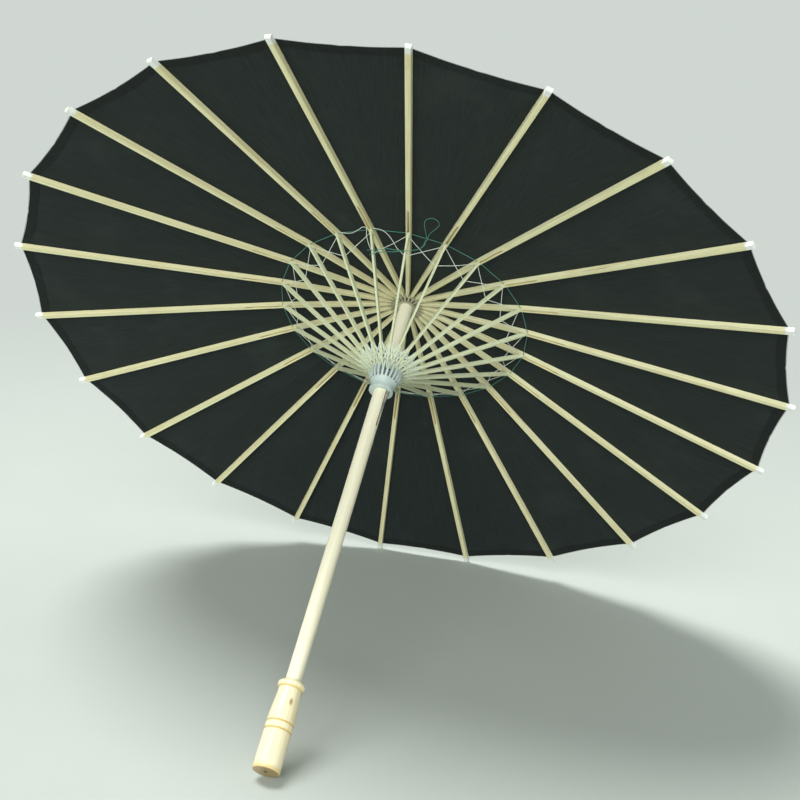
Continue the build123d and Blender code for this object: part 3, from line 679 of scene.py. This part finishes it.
def add_slab(points, faces, lifts, rows, places, point_at):
    """A closed slab between two lifts, on this grid of rows and places."""
    start = len(points)
    width = len(places)
    for lift in lifts:
        for row in rows:
            for place in places:
                points.append(point_at(row, place, lift))
    layer = width * len(rows)
    for index in range(len(rows) - 1):
        for column in range(width - 1):
            a = start + index * width + column
            faces.append((a, a + 1, a + 1 + width, a + width))
            faces.append((a + layer + width, a + layer + width + 1, a + layer + 1, a + layer))
    rim = [start + column for column in range(width)]
    rim += [start + index * width + width - 1 for index in range(1, len(rows))]
    rim += [start + (len(rows) - 1) * width + column for column in range(width - 2, -1, -1)]
    rim += [start + index * width for index in range(len(rows) - 2, 0, -1)]
    for a, b in zip(rim, rim[1:] + rim[:1]):
        faces.append((b, a, a + layer, b + layer))


def cloth_piece(name, number, places, with_hem):
    """The part of one gore between these places across it, riding on its rib."""
    seeds = [random.Random(seed).uniform(0, 6.28) for seed in (number, number % RIB_COUNT + 1)]
    azimuth = turn_of(number)
    points, faces = [], []

    def point_at(row, place, lift):
        share = share_at(place, row(0.0))
        return about_pole(gore_point(row(share), share, seeds[share > 0], lift), azimuth)

    add_slab(points, faces, CLOTH_LIFTS, [gore_row(step) for step in GORE_STEPS], places, point_at)
    cloth_faces = len(faces)
    if with_hem:
        rows = [hem_row(1 - index / HEM_ROWS, seeds) for index in range(HEM_ROWS + 1)]
        add_slab(points, faces, HEM_LIFTS, rows, places, point_at)
    face_materials = [0] * cloth_faces + [1] * (len(faces) - cloth_faces)
    materials = ("canopy_cloth", "hem_cloth")
    piece = mesh_piece(name, points, faces, materials, face_materials, CLOTH_SHARP_DEGREES)
    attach(piece, body_name("rib", number))
    return piece


def side_panel(number, side):
    """The cloth from one edge of a rib half way to the next rib."""
    places = PANEL_PLACES if side > 0 else [-place for place in reversed(PANEL_PLACES)]
    word = "left" if side > 0 else "right"
    piece = cloth_piece(f"canopy_{word}_{number:02d}", number, places, True)
    azimuth = turn_of(number)
    spread = (STRIP_AT_TIP - STRIP_AT_HUB) / (CLOTH_EDGE_RADIUS - HUB_HINGE.x)
    across = Vector((-side * spread, 1, 0)) + RIB_UP * side * math.tan(FOLD_LEAN)
    hinge_line = HUB_HINGE + Vector((0, side * STRIP_AT_HUB, 0))
    about_pole(across.normalized(), azimuth)
    about_pole(hinge_line, azimuth)
    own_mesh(piece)
    body_name("rib", number)
    return piece


for number in range(1, RIB_COUNT + 1):
    strip = cloth_piece(f"canopy_strip_{number:02d}", number, STRIP_PLACES, False)
    left = side_panel(number, 1)
    side_panel(number, -1)
    if number == 1:
        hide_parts("canopy")

# ---------------------------------------------------------------- cap

CAP_PLEATS = 22
CAP_STEPS = CAP_PLEATS * 8
CAP_CLOTH = 0.5 * MM
CAP_SHARP_DEGREES = 60
CAP_CROWN_RADIUS = 16.3 * MM
CAP_FOOT_RADIUS = 13.6 * MM
CAP_SHOULDER_IN = 1.9 * MM
CAP_SHOULDER_SHARE = 0.62
CAP_HOLE_RADIUS = 7.6 * MM
CAP_OVER_RIBS = 1.5 * MM
CAP_OVER_HUB = 0.25 * MM
CAP_PLEAT_DEPTH = 0.35 * MM
# between these radii the cap's wall is steep, so its pleats stand outward
CAP_STEEP_RADII = (11 * MM, 13 * MM)
CAP_SKIRT_START = 15.2 * MM
SKIRT_ROWS = 8
SKIRT_PLACES = [index / 4 for index in range(-4, 5)]
SKIRT_PLEAT = 0.25 * MM
SKIRT_DROOP = 0.5 * MM
SKIRT_OVER_RIBS = 0.9 * MM


def cap_profile():
    """Underside of the cap's crown from its rim to the pole: (radius, height, depth of its pleats)."""
    rim = CAP_CROWN_RADIUS
    radii = [rim + (CAP_FOOT_RADIUS - rim) * step / 4 for step in range(5)]
    profile = [(radius, rib_top(radius) + CAP_OVER_RIBS, CAP_PLEAT_DEPTH * radius / rim) for radius in radii]
    foot = profile[-1][1]
    top = HUB_HIGH.z + CAP_OVER_HUB
    for step in range(1, 7):
        turn = math.pi / 2 * step / 6
        radius = CAP_FOOT_RADIUS - CAP_SHOULDER_IN * math.sin(turn)
        height = foot + (top - foot) * CAP_SHOULDER_SHARE * (1 - math.cos(turn))
        profile.append((radius, height, 0.3 * MM))
    profile.append((11.65 * MM, top - 0.5 * MM, 0.2 * MM))
    profile.append((11.3 * MM, top + 0.2 * MM, 0.15 * MM))
    profile.append((10.2 * MM, top + 0.5 * MM, 0.1 * MM))
    profile.append((CAP_HOLE_RADIUS, top + 0.6 * MM, 0.0))
    return profile


def make_cap():
    """Round cloth cap gathered over the hub, its cloth in shallow radial pleats."""
    chooser = random.Random(77)
    uneven = [chooser.uniform(0.5, 1.4) for _ in range(CAP_PLEATS)]
    points, faces = [], []
    profile = cap_profile()
    for lift in (0.0, CAP_CLOTH):
        for radius, height, depth in profile:
            for step in range(CAP_STEPS):
                angle = 2 * math.pi * step / CAP_STEPS
                size = uneven[int(step * CAP_PLEATS / CAP_STEPS)]
                fold = depth * size * (0.5 - 0.5 * math.cos(angle * CAP_PLEATS))
                steep = CAP_STEEP_RADII[0] < radius < CAP_STEEP_RADII[1]
                out = radius + (fold + lift if steep else 0.0)
                up = height + (0.0 if steep else fold + lift)
                points.append(Vector((out * math.cos(angle), out * math.sin(angle), up)))
    layer = CAP_STEPS * len(profile)
    for index in range(len(profile) - 1):
        for step in range(CAP_STEPS):
            a = index * CAP_STEPS + step
            b = index * CAP_STEPS + (step + 1) % CAP_STEPS
            faces.append((a, a + CAP_STEPS, b + CAP_STEPS, b))
            faces.append((b + layer, b + CAP_STEPS + layer, a + CAP_STEPS + layer, a + layer))
    for index in (0, len(profile) - 1):
        for step in range(CAP_STEPS):
            a = index * CAP_STEPS + step
            b = index * CAP_STEPS + (step + 1) % CAP_STEPS
            faces.append((a, b, b + layer, a + layer) if index == 0 else (b, a, a + layer, b + layer))
    piece = mesh_piece("cap_cloth", points, faces, ("cap_cloth",), sharp_degrees=CAP_SHARP_DEGREES)
    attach(piece, "stick")
    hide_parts("cap")
    skirts = [cap_skirt(number) for number in range(1, RIB_COUNT + 1)]


def cap_skirt(number):
    """The part of the cap's skirt over one rib, which folds down with it."""
    azimuth = turn_of(number)
    points, faces = [], []
    width = CAP_HIGH.x - CAP_SKIRT_START
    radii = [CAP_SKIRT_START + width * step / SKIRT_ROWS for step in range(SKIRT_ROWS + 1)]

    def point_at(radius, share, lift):
        angle = azimuth + HALF_PITCH * share
        fold = SKIRT_PLEAT * (0.5 + 0.5 * math.cos(math.pi * share)) * radius / CAP_HIGH.x
        droop = SKIRT_DROOP * ((radius - CAP_SKIRT_START) / width) ** 4 * abs(share)
        height = rib_top(radius) + SKIRT_OVER_RIBS + fold + lift - droop
        return Vector((radius * math.cos(angle), radius * math.sin(angle), height))

    add_slab(points, faces, (0.0, CAP_CLOTH), radii, SKIRT_PLACES, point_at)
    name = f"cap_skirt_{number:02d}"
    piece = mesh_piece(name, points, faces, ("cap_cloth",), sharp_degrees=CAP_SHARP_DEGREES)
    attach(piece, body_name("rib", number))
    about_pole(HUB_HINGE, azimuth)
    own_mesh(piece)
    return piece


make_cap()

# ---------------------------------------------------------------- threads


def thread_piece(name, routes, radius, material, body, azimuth, sides=8):
    """Threads that ride on one strip."""
    points, faces = tube_mesh(routes, radius, sides)
    piece = mesh_piece(name, points, faces, (material,))
    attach(piece, body)
    sideways(azimuth)
    about_pole(JOINT, azimuth)
    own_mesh(piece)
    return piece


def stretcher_point(along, across, above=0.0):
    """A point beside the first stretcher: along it from the runner's ring, across it, and above its line."""
    return STRETCHER_RING + STRETCHER_RUN * along + STRETCHER_UP * above + Vector((0, across, 0))


LOWER_EDGE_AT_RING = -3.2 * MM
LOWER_EDGE_RISE = 2.0 * MM


def height_in(along, above_edge):
    """Height over a stretcher's line of a place this far above its lower edge."""
    return LOWER_EDGE_AT_RING + LOWER_EDGE_RISE * along / STRETCHER_LENGTH + above_edge


EDGE_THREAD_FROM = 0.05
EDGE_THREAD_STEPS = 8
EDGE_THREAD_OUTSIDE = 0.5 * MM
CHORD_STEPS = 16
OUTER_HOLE_HEIGHT = 2.2 * MM
INNER_HOLE_HEIGHT = 1.25 * MM
# Slack in millimetres of the outer threads in gaps where it shows, by the rib before the gap:
# (thread that falls, thread that rises)
OUTER_SLACK = {19: (0.0, 0.4), 20: (0.0, 0.6), 21: (1.6, 0.0), 4: (1.2, 0.4), 9: (0.6, 2.0), 13: (1.5, 0.8)}
# Falling threads that hang quite loose: points of (millimetres from the pole, share of the gap, height)
HANGING = {
    19: (
        (137.0, 0.07, 508), (134.4, 0.28, 507), (134.3, 0.47, 506), (138.4, 0.69, 505), (142.1, 0.86, 505),
        (139.9, 0.94, 505), (133.9, 0.91, 502), (125.7, 0.92, 499), (117.8, 0.96, 497),
    ),
    20: (
        (137.4, 0.08, 508), (138.3, 0.33, 505), (135.8, 0.5, 502), (129.5, 0.63, 500), (121.3, 0.74, 499),
        (117.5, 0.87, 498), (116.2, 0.96, 496),
    ),
}


def hanging_route(number):
    """The loose falling thread after this rib, in the first rib's frame."""
    places = HANGING[number]
    return curve_between(
        [about_pole((radius * MM, 0, height * MM), share * PITCH) for radius, share, height in places], 4
    )


def chord(start, end, slack, seed):
    """A thread from beside one stretcher to beside the next, in the first rib's frame."""
    end = about_pole(end, PITCH)
    along = end - start
    out = Vector((math.cos(HALF_PITCH), math.sin(HALF_PITCH), 0))
    # a slack thread hangs down and inward
    bow = out * (-0.5) + Vector((0, 0, -0.8))
    route = []
    for step in range(CHORD_STEPS + 1):
        t = step / CHORD_STEPS
        wave = math.sin(math.pi * t) + 0.35 * math.sin(2 * math.pi * t + seed) * math.sin(math.pi * t)
        route.append(start + along * t + bow * slack * MM * wave)
    return route


def outer_threads(number):
    """The two crossed threads from this stretcher to the next: the falling one and the rising one."""
    near, near_back, far, far_back = (
        stretcher_point(along, across, height_in(along, OUTER_HOLE_HEIGHT))
        for along in (STRETCHER_LENGTH - OUTER_HOLE, STRETCHER_LENGTH - OUTER_END)
        for across in (BESIDE_STRETCHER, -BESIDE_STRETCHER)
    )
    falls, rises = OUTER_SLACK.get(number, (0.35 * (number % 3), 0.3 * ((number + 1) % 3)))
    falling = hanging_route(number) if number in HANGING else chord(far, near_back, falls, number)
    return falling, chord(near, far_back, rises, number + 2)


def split_route(route):
    """A route cut where it passes half way between two ribs."""

    def off_middle(index):
        return abs(math.atan2(route[index].y, route[index].x) - HALF_PITCH)

    middle = min(range(1, len(route) - 1), key=off_middle)
    return route[: middle + 1], route[middle:]


OUTER_THREADS = {number: outer_threads(number) for number in range(1, RIB_COUNT + 1)}


def lattice_threads():
    """The threads that cross near the runner, from this stretcher to the next."""
    pairs = list(zip(INNER_HOLES, INNER_HOLES[1:]))
    pairs += [pair[::-1] for pair in pairs]
    for diagonal in INNER_DIAGONALS:
        pairs += [diagonal, diagonal[::-1]]
    routes = []
    for start_along, end_along in pairs:
        start = stretcher_point(start_along, BESIDE_STRETCHER, height_in(start_along, INNER_HOLE_HEIGHT))
        end = stretcher_point(end_along, -BESIDE_STRETCHER, height_in(end_along, INNER_HOLE_HEIGHT))
        routes.append(chord(start, end, 0.0, 0))
    return routes


LATTICE = lattice_threads()


def turned_route(route, azimuth):
    return [about_pole(point, azimuth) for point in route]


def halves_beside(routes_after, routes_before, azimuth):
    """The halves nearest this rib of the threads in the gaps after it and before it."""
    halves = [split_route(route)[0] for route in routes_after]
    halves += [turned_route(split_route(route)[1], -PITCH) for route in routes_before]
    return [turned_route(half, azimuth) for half in halves]


def tight_threads(number):
    """The outer threads after this rib that don't hang loose."""
    falling, rising = OUTER_THREADS[number]
    return [rising] if number in HANGING else [falling, rising]


# a thread that hangs loose stays under the ribs as they fold
for number in HANGING:
    near_half, far_half = split_route(OUTER_THREADS[number][0])
    for half, turns in ((near_half, 0), (far_half, 1)):
        azimuth = turn_of(number + turns)
        thread_piece(
            f"hanging_thread_{number:02d}_{turns}",
            [turned_route(half, turn_of(number))],
            THREAD_RADIUS,
            "white_thread",
            body_name("rib", number + turns),
            azimuth,
        )


def thread_by_rib(kind, number, routes, radius, material, strip, sides=8):
    """One rib's share of a thread that runs right round the parasol."""
    name, body = body_name(kind, number), body_name(strip, number)
    piece = thread_piece(name, routes, radius, material, body, turn_of(number), sides)
    if number == 1:
        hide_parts(kind)


def outer_thread(number):
    """The tight crossed threads on both sides of one stretcher, near its joint."""
    before = (number - 2) % RIB_COUNT + 1
    routes = halves_beside(tight_threads(number), tight_threads(before), turn_of(number))
    thread_by_rib("outer_thread", number, routes, THREAD_RADIUS, "white_thread", "stretcher")


def inner_thread(number):
    """The lattice on both sides of one stretcher, near the runner."""
    halves = halves_beside(LATTICE, LATTICE, turn_of(number))
    routes = [[half[0], half[-1]] for half in halves]
    thread_by_rib("inner_thread", number, routes, THREAD_RADIUS, "white_thread", "stretcher", 6)


def joint_thread(number):
    """The green thread through one joint, from half way before it to half way after it."""
    gap_middle = JOINT.x * math.cos(HALF_PITCH)
    out, side = gap_middle * math.cos(HALF_PITCH), gap_middle * math.sin(HALF_PITCH)
    route = [Vector((out, -side, JOINT.z)), Vector((JOINT.x, 0, JOINT.z)), Vector((out, side, JOINT.z))]
    routes = [turned_route(route, turn_of(number))]
    thread_by_rib("joint_thread", number, routes, GREEN_THREAD_RADIUS, "green_thread", "rib")


def edge_thread(number):
    """The thread along the cloth's edge on both sides of one rib."""
    routes = []
    for side in (-1, 1):
        route = []
        for step in range(EDGE_THREAD_STEPS + 1):
            share = side * (EDGE_THREAD_FROM + (1 - EDGE_THREAD_FROM) * step / EDGE_THREAD_STEPS)
            radius = scalloped_edge(share) + EDGE_THREAD_OUTSIDE
            route.append(about_pole(gore_point(radius, share, 0.0, 0.0), turn_of(number)))
        routes.append(route)
    thread_by_rib("edge_thread", number, routes, THREAD_RADIUS, "grey_thread", "rib")


for number in range(1, RIB_COUNT + 1):
    outer_thread(number)
    inner_thread(number)
    joint_thread(number)
    edge_thread(number)

# ---------------------------------------------------------------- knot and loose thread

# The knot is half way between two ribs. Points of its loop and two loose ends, in millimetres:
# out along the middle line of the gap, sideways, and height.
KNOT_RIB = 21
KNOT_AZIMUTH = turn_of(KNOT_RIB) + HALF_PITCH
KNOT_RADIUS = 0.9 * MM
LOOSE_LOOP = (
    (135.3, -0.5, 508.0), (142.2, -3.0, 507.9), (150.2, -5.2, 506.6), (158.4, -6.9, 504.9),
    (166.0, -5.6, 503.3), (170.6, -0.6, 502.4), (169.0, 4.6, 502.7), (163.2, 7.4, 503.9),
    (156.0, 6.0, 505.4), (148.6, 3.3, 507.0), (141.6, 1.0, 508.0), (135.3, 0.5, 508.0),
)
LONG_LOOSE_END = (
    (134.0, 0.4, 507.0), (135.2, -0.3, 503.6), (131.2, -0.9, 500.9), (127.6, -3.8, 499.0),
    (124.9, -8.3, 497.5), (122.4, -14.2, 496.4), (120.4, -20.8, 495.6), (118.8, -28.0, 495.4),
    (117.0, -35.4, 495.6), (113.6, -41.8, 495.0), (110.4, -48.0, 494.5), (107.5, -54.0, 494.6),
)
SHORT_LOOSE_END = (
    (134.0, -0.4, 507.0), (134.0, -1.2, 504.1), (130.2, -1.6, 501.4), (126.7, -4.3, 499.6),
    (124.0, -8.8, 498.1), (121.5, -14.6, 497.0), (119.3, -21.0, 495.9), (116.6, -28.0, 494.6),
    (114.4, -34.6, 494.0), (111.6, -40.6, 493.4), (108.2, -46.0, 492.9), (104.6, -50.6, 492.1),
)
LOOSE_THREADS = (
    ("loose_loop", LOOSE_LOOP, "rib", 0.079, "object"),
    ("loose_end_long", LONG_LOOSE_END, "stretcher", 0.068, "bare"),
    ("loose_end_short", SHORT_LOOSE_END, "stretcher", 0.064, "bare"),
)

for name, places, kind, length, far_end in LOOSE_THREADS:
    route = curve_between([about_pole(Vector(place) * MM, KNOT_AZIMUTH) for place in places], 6)
    body, azimuth = body_name(kind, KNOT_RIB), turn_of(KNOT_RIB)
    piece = thread_piece(name, [route], GREEN_THREAD_RADIUS, "green_thread", body, azimuth)
    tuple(route[0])
    if name == "loose_loop":
        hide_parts("loose_thread")

knot_place = about_pole((JOINT.x * math.cos(HALF_PITCH), 0, JOINT.z), KNOT_AZIMUTH)
# Each lobe's turn about the pole's direction, its rise in knot radii and its tilt
KNOT_LOBES = ((0.3, 0.2, 0.5), (1.5, -0.4, -0.7), (2.5, 0.5, 0.2))
LOBE_RADIUS = KNOT_RADIUS - 0.3 * MM
LOBE_STEPS = 10
knot_lobes = []
for turn, rise, tilt in KNOT_LOBES:
    across = about_pole((math.cos(turn), math.sin(turn), tilt), KNOT_AZIMUTH).normalized()
    level = Vector((0, 0, rise * KNOT_RADIUS))
    bend = across.cross(Vector((0, 0, 1))).normalized()
    lobe = []
    for step in range(LOBE_STEPS):
        angle = 2 * math.pi * step / LOBE_STEPS
        around = across * math.cos(angle) + bend * math.sin(angle)
        lobe.append(knot_place + level + around * LOBE_RADIUS)
    knot_lobes.append(lobe)
thread_piece(
    "joint_knot",
    knot_lobes,
    GREEN_THREAD_RADIUS * 1.1,
    "green_thread",
    body_name("rib", KNOT_RIB),
    turn_of(KNOT_RIB),
)

# ---------------------------------------------------------------- studio

# The parasol leans on its rim and its handle's end, as it was photographed.
FLOOR_UP = Vector((0.570, -0.494, 0.657)).normalized()
CAMERA_PLACE = Vector((0.9734, -0.4454, -0.3338))
CAMERA_AIM = Vector((-0.7410, 0.3572, 0.5686)).normalized()
CAMERA_UP = Vector((0.3709, -0.4881, 0.7900))
CAMERA_LENS = 56.9


def looking(place, aim, up):
    """A turned place that looks along aim with up upward."""
    right = aim.cross(up).normalized()
    upward = right.cross(aim)
    turn = Matrix((right, upward, -aim)).transposed()
    return Matrix.Translation(place) @ turn.to_4x4()


def lowest_along(direction):
    """The least place of the object along this direction."""
    return min(
        direction.dot(piece.matrix_world @ vertex.co)
        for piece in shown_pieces()
        for vertex in piece.data.vertices
    )


FLOOR_COLOUR = (0.50, 0.54, 0.51)
BACKGROUND = (0.63, 0.68, 0.645)
FLOOR_FADE = (0.7, 2.4)
FLOOR_REACH = 14.0


def floor_material():
    """Pale paper, which turns into the even background away from the parasol."""
    graph = Graph("studio_floor", 0.95)
    tone = graph.noise(graph.place, 3.0, detail=4.0)
    darker, paler = (tuple(c * shade for c in FLOOR_COLOUR) for shade in (0.98, 1.02))
    colour = graph.ramp(tone, (0.3, darker), (0.7, paler))
    graph.finish(colour, Specular_IOR_Level=0.1)
    glow = graph.add("ShaderNodeEmission")
    glow.inputs["Color"].default_value = (*BACKGROUND, 1)
    away = graph.add("ShaderNodeVectorMath", operation="LENGTH")
    graph.join(graph.place, away.inputs[0])
    far_off = graph.add("ShaderNodeMixShader")
    graph.join(graph.between(away.outputs["Value"], *FLOOR_FADE), far_off.inputs[0])
    graph.join(graph.shader.outputs[0], far_off.inputs[1])
    graph.join(glow.outputs[0], far_off.inputs[2])
    # the floor doesn't hide the parasol from a viewpoint below it
    see_through = graph.add("ShaderNodeBsdfTransparent")
    blend = graph.add("ShaderNodeMixShader")
    backfacing = graph.add("ShaderNodeNewGeometry").outputs["Backfacing"]
    camera_ray = graph.add("ShaderNodeLightPath").outputs["Is Camera Ray"]
    behind = graph.times(backfacing, camera_ray)
    graph.join(behind, blend.inputs[0])
    graph.join(far_off.outputs[0], blend.inputs[1])
    graph.join(see_through.outputs[0], blend.inputs[2])
    graph.join(blend.outputs[0], graph.tree.nodes["Material Output"].inputs["Surface"])
    return graph.material


def make_floor():
    level = lowest_along(FLOOR_UP)
    side = FLOOR_UP.orthogonal().normalized()
    other = FLOOR_UP.cross(side)
    centre = FLOOR_UP * level
    corners = [
        centre + side * FLOOR_REACH * a + other * FLOOR_REACH * b
        for a, b in ((-1, -1), (1, -1), (1, 1), (-1, 1))
    ]
    mesh = bpy.data.meshes.new("floor")
    mesh.from_pydata([tuple(corner) for corner in corners], [], [(0, 1, 2, 3)])
    floor = bpy.data.objects.new("floor", mesh)
    bpy.context.scene.collection.objects.link(floor)
    mesh.materials.append(floor_material())
    if mesh.polygons[0].normal.dot(FLOOR_UP) < 0:
        mesh.flip_normals()
    floor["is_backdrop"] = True


def sun(name, toward, strength, softness_degrees, colour):
    """An even light from far off in this direction, soft as a sky of this width."""
    data = bpy.data.lights.new(name, "SUN")
    data.energy = strength
    data.angle = math.radians(softness_degrees)
    data.color = colour
    light = bpy.data.objects.new(name, data)
    bpy.context.scene.collection.objects.link(light)
    toward = toward.normalized()
    light.matrix_world = looking(toward * 3, -toward, CAMERA_AIM.cross(toward))


make_floor()
level_forward = (CAMERA_AIM - FLOOR_UP * CAMERA_AIM.dot(FLOOR_UP)).normalized()
level_right = level_forward.cross(FLOOR_UP)
sun("key", FLOOR_UP * 1.0 + level_forward * 0.15 - level_right * 0.35, 2.9, 30, (1.0, 1.0, 0.97))
sun("fill", FLOOR_UP * 0.5 - level_forward * 1.0 - level_right * 0.2, 2.6, 44, (0.97, 1.0, 0.97))

world = bpy.data.worlds.new("studio")
world.use_nodes = True
world_nodes = world.node_tree.nodes
world_nodes["Background"].inputs[0].default_value = (0.93, 1.0, 0.95, 1)
world_nodes["Background"].inputs[1].default_value = 0.3
seen = world_nodes.new("ShaderNodeBackground")
seen.inputs[0].default_value = (*BACKGROUND, 1)
choice = world_nodes.new("ShaderNodeMixShader")
world_links = world.node_tree.links
world_links.new(world_nodes.new("ShaderNodeLightPath").outputs["Is Camera Ray"], choice.inputs[0])
world_links.new(world_nodes["Background"].outputs[0], choice.inputs[1])
world_links.new(seen.outputs[0], choice.inputs[2])
world_links.new(choice.outputs[0], world_nodes["World Output"].inputs[0])
bpy.context.scene.world = world
bpy.context.scene.view_settings.view_transform = "Standard"

camera_data = bpy.data.cameras.new("camera")
camera_data.lens = CAMERA_LENS
camera_data.sensor_width = 36
camera_data.clip_start = 0.01
camera_data.clip_end = 60
camera = bpy.data.objects.new("camera", camera_data)
bpy.context.scene.collection.objects.link(camera)
camera.matrix_world = looking(CAMERA_PLACE, CAMERA_AIM, CAMERA_UP)
bpy.context.scene.camera = camera
